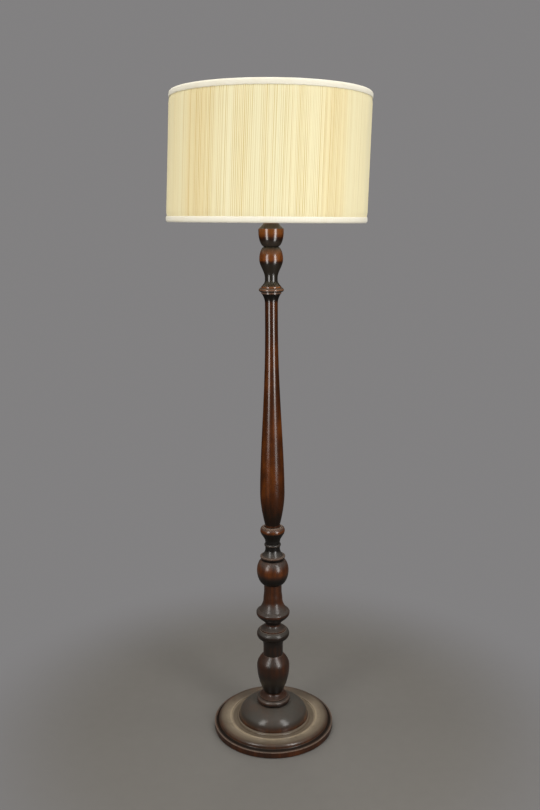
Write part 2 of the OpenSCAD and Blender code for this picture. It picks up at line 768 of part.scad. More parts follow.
module column_tube() color([0.62, 0.62, 0.62]) translate([0, 0, z_tube_foot])
    tube_ring(tube_r, tube_r - tube_wall, z_tube_top - z_tube_foot);

module tube_washer() color([0.6, 0.6, 0.6]) translate([0, 0, z_nut_top])
    tube_ring(washer_r, tube_r + fit, washer_t);

module tube_nut() color([0.58, 0.57, 0.52]) translate([0, 0, z_nut_top - nut_t]) difference() {
    hexagon(nut_af, nut_t);
    translate([0, 0, -1]) cylinder(h = nut_t + 2, r = tube_r);
}

module brass_cap() color([0.72, 0.55, 0.25]) translate([0, 0, z_cap]) rotate_extrude()
    polygon(concat([[tube_r + fit, 0]],
        profile([["bowl", brass_cap_h / 2, top_seat_r + brass_cap_over],
                 ["dome", brass_cap_h / 2, top_seat_r - brass_cap_over]],
                top_seat_r - brass_cap_over),
        [[tube_r + fit, brass_cap_h]]));

module harp_saddle() color([0.70, 0.54, 0.26]) translate([0, 0, z_saddle]) difference() {
    union() {
        translate([-tongue_x - saddle_t / 2, -saddle_w / 2, 0])
            cube([2 * tongue_x + saddle_t, saddle_w, saddle_t]);
        for (s = [-1, 1]) {
            translate([s * tongue_x - saddle_t / 2, -saddle_w / 2, 0])
                cube([saddle_t, saddle_w, saddle_t + saddle_arm_h]);
            translate([s * tongue_x - saddle_t / 2, -tongue_w / 2, 0])
                cube([saddle_t, tongue_w, saddle_t + saddle_arm_h + tongue_h]);
            // shelf under the foot of the harp
            translate([s * (tongue_x + shelf_l / 2) - shelf_l / 2, -saddle_w / 2, saddle_arm_h])
                cube([shelf_l, saddle_w, saddle_t]);
        }
    }
    translate([0, 0, -1]) cylinder(h = saddle_t + 2, r = tube_r + fit);
}

module saddle_nut() color([0.72, 0.56, 0.28]) translate([0, 0, z_saddle_nut]) difference() {
    hexagon(nut_af, nut_t);
    translate([0, 0, -1]) cylinder(h = nut_t + 2, r = tube_r);
}

// ---- Lampholder ----

holder_neck_r = tube_r + 3;
module holder_cap() color([0.72, 0.56, 0.28]) translate([0, 0, z_holder]) rotate_extrude()
    polygon([[tube_r, 0], [holder_neck_r, 0], [holder_neck_r, 2],
             for (i = [0:8]) let (a = 90 * i / 8)
                [holder_neck_r + (cap_in_r + holder_wall - holder_neck_r) * sin(a),
                 2 + (holder_cap_h - shell_lap) * (1 - cos(a))],
             [cap_in_r + holder_wall, holder_cap_h], [cap_in_r, holder_cap_h],
             for (i = [8:-1:0]) let (a = 90 * i / 8)
                [holder_neck_r - holder_wall
                    + (cap_in_r - holder_neck_r + holder_wall) * sin(a),
                 2 + holder_wall + (holder_cap_h - shell_lap - holder_wall) * (1 - cos(a))],
             [tube_r, 2 + holder_wall]]);

module spindle_hole(r) translate([0, 0, z_spindle]) rotate([90, 0, 0])
    cylinder(h = shell_r + 2, r = r);

module holder_shell() color([0.74, 0.58, 0.30]) difference() {
    translate([0, 0, z_holder + holder_cap_h - shell_lap + 1])
        tube_ring(shell_r, shell_r - shell_wall, holder_h - holder_cap_h + shell_lap - 1);
    spindle_hole(spindle_r + 1);
}

module holder_insulator() color([0.62, 0.55, 0.42]) difference() {
    translate([0, 0, z_body]) tube_ring(card_r, card_r - card_t, z_mouth - z_body - 1);
    spindle_hole(spindle_r + 1);
}

module terminal_places() for (s = [0, 180]) rotate([0, 0, s])
    translate([body_r - terminal_h - 0.4, 0, terminal_z]) rotate([0, 90, 0]) children();

module switch_body() color([0.07, 0.06, 0.06]) difference() {
    translate([0, 0, z_body]) cylinder(h = switch_body_h, r = body_r);
    translate([0, -spindle_in, z_spindle]) rotate([90, 0, 0])
        cylinder(h = body_r, r = spindle_r + running_fit);
    terminal_places() cylinder(h = terminal_h + 2, r = terminal_r + fit);
}

module terminal_screws() color([0.70, 0.62, 0.42]) terminal_places() difference() {
    cylinder(h = terminal_h, r = terminal_r);
    translate([-terminal_r, -0.3, terminal_h - 0.6]) cube([2 * terminal_r, 0.6, 1]);
}

module screw_shell() color([0.78, 0.70, 0.48]) translate([0, 0, z_body_top])
    tube_ring(screw_r + screw_wall, screw_r, z_mouth - z_body_top - 2);

module centre_contact() color([0.80, 0.62, 0.34]) translate([0, 0, z_body_top]) union() {
    cylinder(h = contact_t, r = contact_r);
    translate([0, -2, 0]) cube([screw_r - 2, 4, 0.5]);
}

module switch_knob() color([0.08, 0.07, 0.06]) translate([0, 0, z_spindle]) rotate([90, 0, 0])
    union() {
        translate([0, 0, spindle_in + 0.3])
            cylinder(h = shell_r + knob_gap - spindle_in, r = spindle_r);
        translate([0, 0, shell_r + knob_gap]) cylinder(h = knob_l - 2, r = knob_r, $fn = 12);
        translate([0, 0, shell_r + knob_gap + knob_l - 2])
            cylinder(h = 2, r1 = knob_r - 0.5, r2 = knob_r - 2);
    }

// ---- Bulb ----

module bulb_tip() color([0.70, 0.70, 0.70]) translate([0, 0, z_tip]) rotate_extrude()
    polygon(concat([[0, 0]], profile([["bowl", tip_h, tip_r]], tip_r - 1.5), [[0, tip_h]]));

module bulb_insulator() color([0.05, 0.05, 0.06]) translate([0, 0, z_tip + tip_h])
    cylinder(h = insulator_h, r1 = tip_r + 0.8, r2 = bulb_cap_r - 2);

bulb_cap_turns = 5;
module bulb_cap() color([0.80, 0.78, 0.72]) translate([0, 0, z_bulb_cap]) rotate_extrude()
    polygon(concat([[0, 0], [bulb_cap_r - 2, 0], [bulb_cap_r - 0.7, 1.5]],
        [for (i = [0:8 * bulb_cap_turns]) let (t = i / (8 * bulb_cap_turns))
            [bulb_cap_r - 0.35 + 0.35 * sin(360 * bulb_cap_turns * t),
             2 + (bulb_cap_h - 4) * t]],
        [[bulb_cap_r - 0.4, bulb_cap_h], [0, bulb_cap_h]]));

glass_bands = [["line", 3, glass_neck_r],
               ["ogee", bulb_rise - 3, bulb_r, 0.9],
               ["dome", bulb_r, 0]];
module bulb_glass() color([0.94, 0.94, 0.92, 0.6]) translate([0, 0, z_glass]) difference() {
    rotate_extrude() polygon(concat([[0, 0]], profile(glass_bands, glass_neck_r)));
    translate([0, 0, glass_t]) rotate_extrude() polygon(concat([[0, 0]],
        profile([["line", 3, glass_neck_r - glass_t],
                 ["ogee", bulb_rise - 3 - glass_t, bulb_r - glass_t, 0.9],
                 ["dome", bulb_r - glass_t, 0]], glass_neck_r - glass_t)));
}

module bulb_stem() color([0.85, 0.88, 0.88]) translate([0, 0, z_glass + glass_t])
    rotate_extrude() polygon(concat([[0, 0]],
        profile([["swell", stem_h / 2, stem_r / 2], ["line", stem_h / 2, stem_r / 2]],
                stem_r + 2), [[0, stem_h]]));

module bulb_filament() color([0.45, 0.45, 0.45]) translate([0, 0, z_glass + glass_t]) {
    wire([stem_r / 2 + 0.6, 0, stem_h - 4], [filament_r, 0, stem_h + 9], 0.35);
    wire([-stem_r / 2 - 0.6, 0, stem_h - 4], [-filament_r, 0, stem_h + 9], 0.35);
    translate([0, 0, stem_h + 9]) rotate([90, 0, 0]) rotate_extrude(angle = 180)
        translate([filament_r, 0]) circle(r = 0.5, $fn = 24);
}

// ---- Harp ----

module harp() color([0.72, 0.57, 0.30]) difference() {
    union() {
        wire_in_plane(harp_points, harp_wire_r);
        translate([0, 0, z_plate_foot]) cylinder(h = z_seat - z_plate_foot, r = plate_r);
    }
    translate([0, 0, z_plate_foot - 1])
        cylinder(h = z_seat - z_plate_foot + 2, r = stud_r + stud_play);
    translate([0, 0, z_plate_foot - 1])
        cylinder(h = stud_head_h + 1 + stud_gap, r = stud_head_r + stud_play);
}

module harp_sleeve() translate([sleeve_x, 0, z_shoulder + seat_gap])
    tube_ring(sleeve_in_r + sleeve_wall, sleeve_in_r, sleeve_h);

module harp_sleeve_right() color([0.76, 0.60, 0.32]) harp_sleeve();

module harp_sleeve_left() color([0.76, 0.60, 0.32]) mirror([1, 0, 0]) harp_sleeve();

// What leans with the shade stands on the harp's seat
module leaning() translate([0, 0, z_seat]) rotate([0, shade_lean, 0]) children();

module harp_stud() color([0.70, 0.55, 0.30]) leaning()
    translate([0, 0, z_plate_foot - z_seat]) union() {
        cylinder(h = stud_head_h, r = stud_head_r);
        cylinder(h = z_seat - z_plate_foot + stud_l, r = stud_r);
    }

z_finial = z_hub + hub_t + seat_gap;
module finial() color([0.76, 0.60, 0.30]) leaning() translate([0, 0, z_finial]) difference() {
    rotate_extrude() polygon(concat([[0, 0]],
        profile([["line", 1.5, finial_r],
                 ["swell", 5, finial_r - 4],
                 ["ogee", (finial_h - 6.5) / 2, finial_r - 1],
                 ["dome", (finial_h - 6.5) / 2, 0, 1.2]], finial_r)));
    translate([0, 0, -1]) cylinder(h = stud_l + 0.5 - z_finial + 1, r = stud_r + running_fit);
}

// ---- Shade ----

// The shade's axis is out of square: pieces follow it, but rings and edges stay level
function off_axis(z) = z * tan(shade_skew);
function ring_at(z) = shade_bottom_r
    + (shade_top_r - shade_bottom_r) * (z - z_bottom_ring) / shade_h;

// A tapered wall that leans shifts sideways against the level rings; this brings it back
wall_shift = shade_bottom_r * tan(shade_skew) * shade_taper / shade_h;

// A thin wall round the shade, its inner face out_from the ring line, between two heights
module shade_wall(out_from, t, z0, z1) intersection() {
    translate([wall_shift, 0, 0]) rotate([0, shade_skew, 0]) rotate_extrude()
        polygon([for (s = [0, 1]) for (z = s == 0 ? [z0 - 12, z1 + 12] : [z1 + 12, z0 - 12])
            [ring_at(z) + out_from + (s == 0 ? 0 : t), z]]);
    translate([-2 * shade_bottom_r, -2 * shade_bottom_r, z0])
        cube([4 * shade_bottom_r, 4 * shade_bottom_r, z1 - z0]);
}

module wire_ring(r, z, wire_r = ring_wire_r) translate([off_axis(z), 0, z]) rotate_extrude()
    translate([r, 0]) circle(r = wire_r, $fn = 32);

// The spider's arms run from the hub's rim up to the top ring
module arms(r) for (i = [0:spider_arms - 1])
    let (a = 90 + 360 * i / spider_arms, root = hub_r - 2, reach = shade_top_r - ring_wire_r / 2)
    wire([root * cos(a), root * sin(a), z_hub + hub_t],
         [reach * cos(a) + off_axis(z_top_ring), reach * sin(a), z_top_ring], r);

module shade_top_ring() color([0.80, 0.78, 0.72]) leaning() wire_ring(shade_top_r, z_top_ring);

module shade_bottom_ring() color([0.80, 0.78, 0.72]) leaning()
    wire_ring(shade_bottom_r, z_bottom_ring);

module shade_ribs() color([0.80, 0.78, 0.72]) leaning() for (i = [0:rib_count - 1])
    let (a = 360 * (i + 0.5) / rib_count, b = ring_wire_r - 0.2)
    wire([shade_bottom_r * cos(a) + off_axis(z_bottom_ring), shade_bottom_r * sin(a),
          z_bottom_ring + b],
         [shade_top_r * cos(a) + off_axis(z_top_ring), shade_top_r * sin(a), z_top_ring - b],
         rib_wire_r);

module shade_spider() color([0.78, 0.76, 0.70]) leaning() {
    translate([0, 0, z_hub]) tube_ring(hub_r, stud_r + stud_play, hub_t);
    difference() {
        arms(arm_r);
        wire_ring(shade_top_r, z_top_ring, ring_wire_r + braze_gap);
    }
}

module shade_cover() color([0.94, 0.91, 0.78]) leaning()
    shade_wall(ring_wire_r + cloth_gap, cover_t, z_bottom_ring, z_top_ring);

module shade_lining() color([0.95, 0.94, 0.88]) leaning() difference() {
    shade_wall(-ring_wire_r - cloth_gap - lining_t, lining_t, z_bottom_ring, z_top_ring);
    arms(arm_r + arm_room);
}

// Tape folded over a ring: dir is 1 at the top and -1 at the bottom
module shade_trim(z, dir) {
    edge = z + dir * (ring_wire_r + trim_gap);
    outer = ring_wire_r + cloth_gap + cover_t + trim_gap;
    inner = -ring_wire_r - cloth_gap - lining_t - trim_gap - trim_t;
    shade_wall(outer, trim_t, min(edge, edge - dir * trim_w), max(edge, edge - dir * trim_w));
    shade_wall(inner, trim_t, min(edge, edge - dir * trim_w / 2),
               max(edge, edge - dir * trim_w / 2));
    shade_wall(inner, outer + trim_t - inner, min(edge, edge + dir * trim_t),
               max(edge, edge + dir * trim_t));
}

module shade_top_trim() color([0.97, 0.96, 0.90]) leaning() difference() {
    shade_trim(z_top_ring, 1);
    arms(arm_r + arm_room);
}

module shade_bottom_trim() color([0.97, 0.96, 0.90]) leaning() shade_trim(z_bottom_ring, -1);

felt_pad();
ballast();
ballast_screws();
base();
cord_bush();
base_collar();
urn();
ring_piece();
bell();
ball();
ball_cap();
lower_cup();
shaft();
vase();
top_cup();
column_tube();
tube_washer();
tube_nut();
brass_cap();
harp_saddle();
saddle_nut();
holder_cap();
holder_shell();
holder_insulator();
switch_body();
terminal_screws();
screw_shell();
centre_contact();
switch_knob();
bulb_cap();
bulb_insulator();
bulb_tip();
bulb_glass();
bulb_stem();
bulb_filament();
harp();
harp_sleeve_left();
harp_sleeve_right();
harp_stud();
finial();
shade_spider();
shade_top_ring();
shade_bottom_ring();
shade_ribs();
shade_lining();
shade_cover();
shade_top_trim();
shade_bottom_trim();
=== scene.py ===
"""Candlestick floor lamp: a turned and stained hardwood column on a weighted round base, with
a lampholder and harp on top and a drum shade of gathered silk. Metres, +Z up, floor at z = 0."""
import math

import bpy
import numpy as np
from mathutils import Matrix, Vector


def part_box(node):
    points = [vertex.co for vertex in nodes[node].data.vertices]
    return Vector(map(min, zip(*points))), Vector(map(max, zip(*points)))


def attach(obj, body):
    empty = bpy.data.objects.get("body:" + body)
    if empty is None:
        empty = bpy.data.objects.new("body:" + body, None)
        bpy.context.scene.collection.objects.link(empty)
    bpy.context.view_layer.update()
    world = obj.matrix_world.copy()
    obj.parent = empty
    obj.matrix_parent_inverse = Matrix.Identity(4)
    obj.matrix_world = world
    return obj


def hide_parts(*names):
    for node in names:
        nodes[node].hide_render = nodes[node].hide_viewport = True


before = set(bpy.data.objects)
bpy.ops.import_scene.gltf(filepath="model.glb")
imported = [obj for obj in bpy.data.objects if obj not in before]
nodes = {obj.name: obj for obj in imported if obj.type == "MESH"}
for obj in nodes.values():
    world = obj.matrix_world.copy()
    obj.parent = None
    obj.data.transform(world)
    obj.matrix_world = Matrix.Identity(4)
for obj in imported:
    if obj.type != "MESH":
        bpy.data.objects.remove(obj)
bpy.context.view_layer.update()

# ---------------------------------------------------------------------------------------
# Studio: the viewpoint of the photograph, a plain floor, two tall soft lights in front that the
# varnish reflects, and broad ones overhead, behind and at both sides that it doesn't.

eye = Vector((-0.0053, -2.177, 1.408))
look_down = math.radians(13.6)
roll = math.radians(-0.326)
focal_px, frame_h_px, centre_drop_px = 851, 810, 20
sensor_mm, floor_reach = 36, 20

camera = bpy.data.objects.new("camera", bpy.data.cameras.new("camera"))
bpy.context.scene.collection.objects.link(camera)
camera.matrix_world = (Matrix.Translation(eye)
                       @ Matrix.Rotation(math.radians(90) - look_down, 4, "X")
                       @ Matrix.Rotation(roll, 4, "Z"))
camera.data.sensor_width = sensor_mm
camera.data.lens = sensor_mm * focal_px / frame_h_px
camera.data.shift_y = centre_drop_px / frame_h_px
camera.data.clip_end = 60
bpy.context.scene.camera = camera
bpy.context.scene.view_settings.view_transform = "Standard"


def soft_light(name, place, target, width, height, watts, tint, glossy=True):
    """A rectangular light, itself unseen; glossy tells whether varnish reflects it."""
    lamp = bpy.data.lights.new(name, "AREA")
    lamp.shape, lamp.size, lamp.size_y = "RECTANGLE", width, height
    lamp.energy, lamp.color = watts, tint
    light = bpy.data.objects.new(name, lamp)
    light.location = place
    aim = Vector(target) - Vector(place)
    light.rotation_euler = aim.to_track_quat("-Z", "Y").to_euler()
    light.visible_camera, light.visible_glossy = False, glossy
    bpy.context.scene.collection.objects.link(light)


soft_light("box_left", (-0.82, -0.95, 1.24), (0, 0, 1.15), 0.40, 1.32, 8.0, (1.0, 0.98, 0.95))
soft_light("box_right", (0.82, -0.95, 1.22), (0, 0, 1.15), 0.40, 1.56, 11.0, (1.0, 0.99, 0.97))
soft_light("overhead", (0, -0.5, 3.4), (0, 0, 0), 3.2, 3.2, 80, (1.0, 0.99, 0.97),
           glossy=False)
soft_light("behind", (0, 2.4, 1.8), (0, 0, 1.2), 2.2, 1.8, 30, (1.0, 0.98, 0.95), glossy=False)
for side in (-1, 1):
    soft_light("fill", (2.1 * side, -0.1, 1.5), (0, 0, 1.4), 0.8, 1.6, 7, (1.0, 0.97, 0.92),
               glossy=False)

floor_mesh = bpy.data.meshes.new("studio_floor")
floor_mesh.from_pydata([(floor_reach * across, floor_reach * along, 0)
                        for across, along in ((-1, -1), (1, -1), (1, 1), (-1, 1))],
                       [], [(0, 1, 2, 3)])
studio_floor = bpy.data.objects.new("studio_floor", floor_mesh)
bpy.context.scene.collection.objects.link(studio_floor)

# The camera sees a mid grey backdrop; the lamp gets only a little light from it, and its varnish
# reflects still less.
backdrop = (0.222, 0.217, 0.219)
room_light, kept_from_varnish = 0.32, -0.20
world = bpy.data.worlds.new("studio")
world.use_nodes = True
room = world.node_tree.nodes["Background"]
room.inputs["Color"].default_value = (*backdrop, 1)
seen = world.node_tree.nodes.new("ShaderNodeBackground")
seen.inputs["Color"].default_value = (*backdrop, 1)
mixed = world.node_tree.nodes.new("ShaderNodeMixShader")
dimmed = world.node_tree.nodes.new("ShaderNodeMath")
dimmed.operation = "MULTIPLY_ADD"
dimmed.inputs[1].default_value = kept_from_varnish
dimmed.inputs[2].default_value = room_light
ray = world.node_tree.nodes.new("ShaderNodeLightPath")
for source, target in ((ray.outputs["Is Camera Ray"], mixed.inputs[0]),
                       (ray.outputs["Is Glossy Ray"], dimmed.inputs[0]),
                       (dimmed.outputs[0], room.inputs["Strength"]),
                       (room.outputs[0], mixed.inputs[1]), (seen.outputs[0], mixed.inputs[2]),
                       (mixed.outputs[0], world.node_tree.nodes["World Output"].inputs[0])):
    world.node_tree.links.new(source, target)
bpy.context.scene.world = world

# ---------------------------------------------------------------------------------------
# Base: one wide turned block of stained hardwood, with an upright rim, a rounded shoulder, a
# shallow ring, a bead and a dome. Years of dust and polish lie on everything that faces up,
# painted together with the sheen that light from above gives it.


class Wire:
    """A socket of a finish's nodes; arithmetic on it adds Math nodes."""

    def __init__(self, finish, socket):
        self.finish, self.socket = finish, socket

    def maths(self, operation, *values):
        return self.finish.node("Math", {"operation": operation}, dict(enumerate(values)))

    def __add__(self, other):
        return self.maths("ADD", self, other)

    def __sub__(self, other):
        return self.maths("SUBTRACT", self, other)

    def __rsub__(self, other):
        return self.maths("SUBTRACT", other, self)

    def __mul__(self, other):
        return self.maths("MULTIPLY", self, other)

    def __pow__(self, other):
        return self.maths("POWER", self, other)

    __radd__, __rmul__ = __add__, __mul__

    def between(self, low, high):
        """0 below low, 1 above high, smooth between them."""
        return self.finish.node("MapRange", {"interpolation_type": "SMOOTHSTEP"},
                                {"Value": self, "From Min": low, "From Max": high})


class Finish:
    """One piece's material. Its shader's constants are set by name, its links by feed()."""

    def __init__(self, name, **constants):
        self.material = bpy.data.materials.new(name)
        self.material.use_nodes = True
        self.tree = self.material.node_tree
        self.shader = self.tree.nodes["Principled BSDF"]
        for socket, value in constants.items():
            self.shader.inputs[socket.replace("_", " ")].default_value = value

    def plug(self, socket, value):
        """Links a Wire to a socket, or sets the socket's own value."""
        if isinstance(value, Wire):
            self.tree.links.new(value.socket, socket)
        elif hasattr(value, "__len__") and len(value) == 3 and socket.type == "RGBA":
            socket.default_value = (*value, 1)
        else:
            socket.default_value = value

    def node(self, kind, settings=None, sockets=None, out=0):
        """Any node, from its type, its settings and what goes into its sockets."""
        made = self.tree.nodes.new("ShaderNode" + kind)
        for key, value in (settings or {}).items():
            if key == "stops":
                ramp = made.color_ramp
                while len(ramp.elements) < len(value):
                    ramp.elements.new(1)
                for element, (place, colour) in zip(ramp.elements, value):
                    element.position, element.color = place, (*colour, 1)
            else:
                setattr(made, key, value)
        for key, value in (sockets or {}).items():
            self.plug(made.inputs[key], value)
        return Wire(self, made.outputs[out])

    def place(self, scale=(1, 1, 1), shift=(0, 0, 0)):
        """The point on the piece, stretched and shifted."""
        return self.node("Mapping", None, {"Vector": self.node("TexCoord", out="Object"),
                                           "Scale": scale, "Location": shift})

    def noise(self, vector, scale, detail=3, rough=0.5, distortion=0):
        return self.node("TexNoise", None, {"Vector": vector, "Scale": scale, "Detail": detail,
                                            "Roughness": rough, "Distortion": distortion})

    def blend(self, amount, first, second):
        mixer = self.tree.nodes.new("ShaderNodeMix")
        mixer.data_type = "RGBA"
        for index, value in ((0, amount), (6, first), (7, second)):
            self.plug(mixer.inputs[index], value)
        return Wire(self, mixer.outputs[2])

    def bump(self, height, distance, strength=1.0):
        return self.node("Bump", None, {"Height": height, "Distance": distance,
                                        "Strength": strength})

    def feed(self, **links):
        for socket, value in links.items():
            self.plug(self.shader.inputs[socket.replace("_", " ")], value)
        return self.material


near_black = (0.004, 0.003, 0.002)
bare_edge = (0.215, 0.150, 0.112)
# Painted shade: outside the dome, the base's rings and worn edges grow darker towards the back,
# between these two distances behind the axis.
dome_edge_r, dish_shaded_y = 0.09, (0.045, 0.105)


def stained_wood(name, seed, warmth, dust_and_sheen_amount, shine, dust_and_sheen_tint, worn=(), seams=(), zones=(),
                 warm_from_r=(0, 0.001), wiped_ring=None, grime_and_shade_rings=(), thin=None,
                 under=(0.0056, 0.0040, 0.0030)):
    """Stained and varnished turned wood: warm at the side; where it looks down, and inside
    narrow necks, the dark under colour as painted shade; on top dust, painted together with the
    sheen that light from above gives. shine is the varnish's roughness. The stain is warm from
    the warm_from_r radii outward; inside them it takes the painted shade.
    worn: rubbed edges (radius, height, reach, strength). seams: heights of joints with grime.
    zones: rings of another tone (inner radius, outer radius, softness of each, colour, amount).
    wiped_ring: radii that a duster has kept bright, with less dust and painted sheen.
    grime_and_shade_rings: rings painted near black, for grime and for the shade in hollows.
    thin: the heights between which the varnish goes from worn to whole."""
    wood = Finish(name, Coat_IOR=1.7, Coat_Roughness=shine, Specular_IOR_Level=0.3)
    shift = (seed * 0.37, seed * 0.61, seed * 0.23)
    point = wood.node("TexCoord", out="Object")
    axes = wood.node("SeparateXYZ", None, {"Vector": point})
    x, y, z = (Wire(wood, axes.socket.node.outputs[i]) for i in range(3))
    radius = (x * x + y * y) ** 0.5
    facing = wood.node("SeparateXYZ", None,
                       {"Vector": wood.node("NewGeometry", out="Normal")}, out=2)

    # growth rings cut by the lathe, fine streaks, and pores drawn out along the grain
    figure = wood.node("TexWave", {"wave_type": "BANDS", "bands_direction": "X"},
                       {"Vector": wood.place((1, 1, 0.10), shift), "Scale": 20,
                        "Distortion": 7, "Detail": 3, "Detail Scale": 1.3,
                        "Detail Roughness": 0.6}, out=1)
    streak = wood.noise(wood.place((1, 1, 0.035), shift), 230, 5, 0.6, 0.3)
    cloud = wood.noise(wood.place((1, 1, 0.5), shift), 21, 4, 0.55)
    pores = wood.noise(wood.place((1, 1, 0.03), shift), 900, 2, 0.5).between(0.68, 0.76)

    # painted shade: where the surface looks down, and inside narrow necks, the stain falls to the
    # dark under colour
    painted_lit_side = facing.between(-0.40, 0.0) * radius.between(*warm_from_r)
    tone = cloud * 0.75 + streak * 0.20 + figure * 0.07 + (warmth - 0.51)
    colour = wood.node("ValToRGB", {"stops": [
        (0.0, under), (0.30, (0.0150, 0.0070, 0.0035)),
        (0.55, (0.0580, 0.0155, 0.0035)), (0.80, (0.1650, 0.0430, 0.0055)),
        (1.0, (0.2600, 0.0800, 0.0120))]}, {"Fac": tone * painted_lit_side})
    colour = wood.blend(pores * 0.25, colour, near_black)

    # edges rubbed by hands and dusters
    rub = None
    for edge_r, edge_z, reach, strength in worn:
        away = ((radius - edge_r) ** 2 + (z - edge_z) ** 2) ** 0.5
        touched = (1 - away.between(reach * 0.25, reach)) * strength
        rub = touched if rub is None else rub.maths("MAXIMUM", rub, touched)
    speckle = wood.noise(wood.place((1, 1, 0.8), shift), 330, 4, 0.65)

    # dust with a painted sheen: only where the surface looks up, mixed toward a grey tint for dust
    # and for the sheen that light from above gives, in a patchy film, thinner where it has been
    # wiped
    wiped = wood.noise(wood.place((1, 1, 0.6), shift), 32, 2, 0.5)
    dust_and_sheen = facing.between(0.06, 0.58) * (wiped * 0.5 + 0.74) * dust_and_sheen_amount
    if wiped_ring is not None:
        kept = radius.between(wiped_ring[0] - 0.004, wiped_ring[0] + 0.004) * (
            1 - radius.between(wiped_ring[1] - 0.001, wiped_ring[1] + 0.001))
        dust_and_sheen = dust_and_sheen * (1 - kept * 0.35)
    specks = speckle.between(0.72, 0.80) * facing.between(-0.2, 0.5) * 0.2 * dust_and_sheen_amount
    dust_and_sheen = dust_and_sheen.maths("MINIMUM", dust_and_sheen + specks, 0.95)
    colour = wood.blend(dust_and_sheen, colour, dust_and_sheen_tint)

    # rings of another tone, as each call lists: dust, wear, painted sheen and painted shade;
    # those outside the dome are painted darker towards the back, as painted shade
    patchy = wood.noise(wood.place((1, 1, 1), shift), 13, 5, 0.62)
    rear_shade = y.between(*dish_shaded_y)
    for inner, outer, soft_in, soft_out, tint, amount in zones:
        ring = radius.between(inner - soft_in, inner + soft_in) * (
            1 - radius.between(outer - soft_out, outer + soft_out))
        laid = patchy.between(0.34, 0.58) * 0.60 + 0.40
        if inner > dome_edge_r:
            laid = laid * (1 - rear_shade * 0.75)
        colour = wood.blend(ring * facing.between(0.02, 0.4) * laid * amount, colour, tint)
    # worn edges, painted darker towards the back of the base as painted shade
    if rub is not None:
        rub = rub * speckle.between(0.28, 0.56) * (1 - rear_shade * 0.85)
        colour = wood.blend(rub, colour, bare_edge)

    # grime at the joints between pieces, and rings painted near black for grime together with
    # the painted shade in hollows
    grime_and_shade = None
    for inner, outer in grime_and_shade_rings:
        hollow_grime_and_shade = radius.between(inner, inner + 0.001) * (1 - radius.between(outer - 0.001, outer))
        grime_and_shade = hollow_grime_and_shade if grime_and_shade is None else grime_and_shade.maths("MAXIMUM", grime_and_shade, hollow_grime_and_shade)
    for height in seams:
        near = 1 - wood.node("Math", {"operation": "ABSOLUTE"}, {0: z - height}).between(
            0.0002, 0.0013)
        grime_and_shade = near if grime_and_shade is None else grime_and_shade.maths("MAXIMUM", grime_and_shade, near)
    if grime_and_shade is not None:
        colour = wood.blend(grime_and_shade * 0.85, colour, near_black)

    # varnish: missing under the dust and painted sheen, on rubbed edges, under grime and painted
    # shade, and where hands wore it thin
    rough = wiped * 0.06 + dust_and_sheen * 0.32 + 0.30
    if rub is not None:
        rough = rough + rub * 0.2
    height = streak * 0.3 - pores * 0.6
    normal = wood.bump(height, 0.00003, 0.05)
    varnish = (1 - dust_and_sheen * 0.66) * (facing.between(-0.50, -0.10) * 0.7 + 0.3)
    if rub is not None:
        varnish = varnish * (1 - rub * 0.55)
    if thin is not None:
        varnish = varnish * (z.between(*thin) * 0.8 + 0.2)
    if grime_and_shade is not None:
        varnish = varnish * (1 - grime_and_shade)
        rough = rough + grime_and_shade * 0.5
    return wood.feed(Base_Color=colour, Roughness=rough,
                     Coat_Weight=varnish.maths("MAXIMUM", varnish, 0.05) * 0.95, Normal=normal)


def finish_node(name, material):
    """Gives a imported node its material."""
    nodes[name].data.materials.clear()
    nodes[name].data.materials.append(material)


finish_node("base", stained_wood(
    "base_wood", 1, warmth=0.54, dust_and_sheen_amount=0.70, shine=0.20, dust_and_sheen_tint=(0.068, 0.060, 0.050),
    # grime and painted shade: near black at the dome's foot and in the hollow under the shoulder
    wiped_ring=(0.147, 0.163), grime_and_shade_rings=[(0.0971, 0.0984), (0.1555, 0.1632)],
    # zones: dust and painted sheen on the dome and on the dish, a darker brown trough, painted
    # shade at the dome's foot, the worn lip, and brown on the shoulder
    zones=[(0.0440, 0.0940, 0.001, 0.003, (0.066, 0.061, 0.052), 0.85),
           (0.0990, 0.1460, 0.001, 0.008, (0.222, 0.178, 0.124), 0.95),
           (0.1000, 0.1150, 0.002, 0.002, (0.088, 0.066, 0.045), 0.80),
           (0.0915, 0.0975, 0.002, 0.001, (0.034, 0.025, 0.018), 0.60),
           (0.1170, 0.1245, 0.002, 0.003, (0.320, 0.257, 0.175), 0.70),
           (0.1340, 0.1560, 0.006, 0.006, (0.085, 0.064, 0.044), 0.50)],
    worn=[(0.1675, 0.0170, 0.0020, 0.80)]))

# ---------------------------------------------------------------------------------------
# Felt: a disc of green wool glued under the base so that it doesn't scratch the floor, cut by
# hand a little short of the rim.

felt_r = (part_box("felt_pad")[1].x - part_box("felt_pad")[0].x) / 2
felt_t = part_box("felt_pad")[1].z
felt_trim, ragged_from = 0.0006, 0.9


def grid_piece(name, rows, closed=False):
    """A smooth mesh from rows of points, each row joined to the next."""
    rows = np.asarray(rows, float)
    count, across = rows.shape[:2]
    index = np.arange(count * across).reshape(count, across)
    if closed:
        index = np.concatenate([index, index[:, :1]], 1)
    quads = np.stack([index[:-1, :-1], index[:-1, 1:], index[1:, 1:], index[1:, :-1]], -1)
    mesh = bpy.data.meshes.new(name)
    mesh.from_pydata(rows.reshape(-1, 3).tolist(), [], quads.reshape(-1, 4).tolist())
    mesh.polygons.foreach_set("use_smooth", [True] * len(mesh.polygons))
    piece = bpy.data.objects.new(name, mesh)
    bpy.context.scene.collection.objects.link(piece)
    return piece


